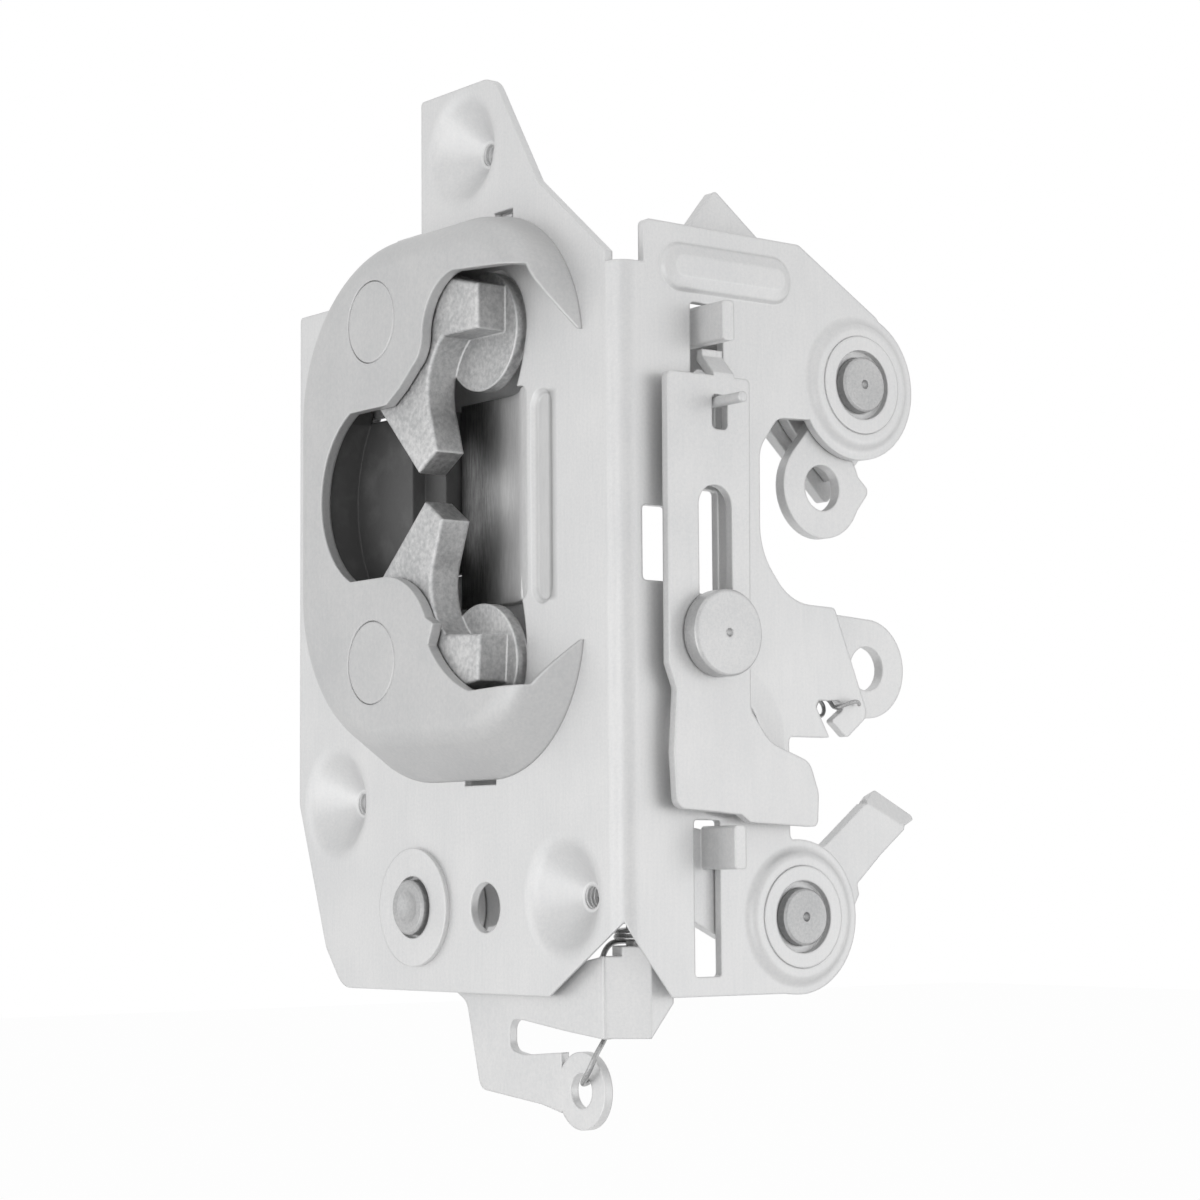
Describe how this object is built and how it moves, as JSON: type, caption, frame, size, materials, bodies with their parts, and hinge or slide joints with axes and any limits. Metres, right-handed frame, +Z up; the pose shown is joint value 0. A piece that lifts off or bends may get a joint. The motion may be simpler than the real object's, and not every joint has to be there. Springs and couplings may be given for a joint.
{
  "type": "door latch",
  "caption": "Rotary claw door latch on a folded steel plate, with a cover over the claws and release levers along the side plate.",
  "frame": {"origin": "axis of the latched striker where it crosses the outer face of the face plate", "axes": "-Y out of the face plate towards the striker's body, +X towards the side plate, +Z up along the fold"},
  "size_m": [0.1353, 0.0963, 0.2262],
  "materials": {
    "plate_steel": "bright zinc plated sheet steel",
    "cover_steel": "bright zinc plated drawn steel",
    "claw_steel": "zinc plated hardened steel, slightly rough",
    "lever_steel": "bright zinc plated sheet steel",
    "pin_steel": "zinc plated turned steel",
    "spring_steel": "drawn spring wire",
    "buffer_plastic": "black moulded plastic"
  },
  "bodies": {
    "latch_frame": {"frame": "plate_steel", "claw_cover": "cover_steel", "upper_claw_stud": "pin_steel", "lower_claw_stud": "pin_steel", "striker_buffer": "buffer_plastic", "back_plate": "plate_steel", "upper_pawl_stud": "pin_steel", "lower_pawl_stud": "pin_steel", "transfer_bush": "plate_steel", "transfer_pin": "pin_steel", "upper_pivot_bush": "plate_steel", "lower_pivot_bush": "plate_steel", "upper_pivot_pin": "pin_steel", "lower_pivot_pin": "pin_steel", "guide_stud": "pin_steel", "corner_pin": "pin_steel", "pin_bracket": "plate_steel", "hook_spring": "spring_steel"},
    "upper_claw": {"upper_claw": "claw_steel"},
    "lower_claw": {"lower_claw": "claw_steel"},
    "upper_pawl": {"upper_pawl": "claw_steel"},
    "lower_pawl": {"lower_pawl": "claw_steel"},
    "transfer": {"transfer_lever": "lever_steel"},
    "slider": {"slider": "lever_steel"},
    "eye_lever": {"eye_lever": "lever_steel"},
    "release_lever": {"release_lever": "lever_steel", "link_pin": "pin_steel"},
    "lug_lever": {"lug_lever": "lever_steel"},
    "lower_lever": {"lower_lever": "lever_steel"},
    "corner_lever": {"corner_lever": "lever_steel", "corner_spring": "spring_steel"}
  },
  "joints": [
    {"name": "upper_claw_turn", "type": "hinge", "parent": "latch_frame", "child": "upper_claw", "pos_m": [-0.006, 0, 0.038], "axis": [0, 1, 0], "range_deg": [0, 46], "stiffness_Nm_per_rad": 0.1, "springref_deg": -34.38},
    {"name": "lower_claw_turn", "type": "hinge", "parent": "latch_frame", "child": "lower_claw", "pos_m": [-0.006, 0, -0.038], "axis": [0, 1, 0], "range_deg": [-50, 0]},
    {"name": "eye_lever_turn", "type": "hinge", "parent": "latch_frame", "child": "eye_lever", "pos_m": [0.062, 0.066, 0.021], "axis": [1, 0, 0], "range_deg": [0, 6.5], "stiffness_Nm_per_rad": 2, "springref_deg": -8.59},
    {"name": "release_lever_turn", "type": "hinge", "parent": "latch_frame", "child": "release_lever", "pos_m": [0.058, 0.066, 0.021], "axis": [1, 0, 0], "range_deg": [0, 6.5]},
    {"name": "slider_slide", "type": "slide", "parent": "latch_frame", "child": "slider", "axis": [0, 0, 1], "range_m": [-0.005, 0]},
    {"name": "lower_lever_turn", "type": "hinge", "parent": "latch_frame", "child": "lower_lever", "pos_m": [0.06435, 0.047, -0.094], "axis": [1, 0, 0], "range_deg": [0, 12.4]},
    {"name": "transfer_turn", "type": "hinge", "parent": "latch_frame", "child": "transfer", "pos_m": [-0.006, 0.01265, -0.0917], "axis": [0, 1, 0], "range_deg": [0, 0.45]},
    {"name": "upper_pawl_turn", "type": "hinge", "parent": "latch_frame", "child": "upper_pawl", "pos_m": [-0.037, 0.0038, 0.014], "axis": [0, 1, 0], "range_deg": [-6, 0]},
    {"name": "lower_pawl_turn", "type": "hinge", "parent": "latch_frame", "child": "lower_pawl", "pos_m": [-0.037, 0.0038, -0.014], "axis": [0, 1, 0], "range_deg": [0, 6]},
    {"name": "lug_lever_turn", "type": "hinge", "parent": "latch_frame", "child": "lug_lever", "pos_m": [0.06435, 0.0218, -0.0355], "axis": [1, 0, 0], "range_deg": [0, 6], "stiffness_Nm_per_rad": 0.05, "springref_deg": -22.92},
    {"name": "corner_lever_turn", "type": "hinge", "parent": "latch_frame", "child": "corner_lever", "pos_m": [0.057, 0.0125, -0.1], "axis": [0, 0, 1], "range_deg": [-10, 0], "stiffness_Nm_per_rad": 0.1, "springref_deg": 17.19}
  ],
  "couplings": [
    {"joint": "lower_claw_turn", "follows": "upper_claw_turn", "ratio": -1.087},
    {"joint": "release_lever_turn", "follows": "eye_lever_turn", "ratio": 1},
    {"joint": "slider_slide", "follows": "eye_lever_turn", "m_per_rad": -0.044073},
    {"joint": "lower_lever_turn", "follows": "eye_lever_turn", "ratio": 1.9077},
    {"joint": "transfer_turn", "follows": "eye_lever_turn", "ratio": 0.06923},
    {"joint": "upper_pawl_turn", "follows": "eye_lever_turn", "ratio": -0.92308},
    {"joint": "lower_pawl_turn", "follows": "eye_lever_turn", "ratio": 0.92308}
  ]
}
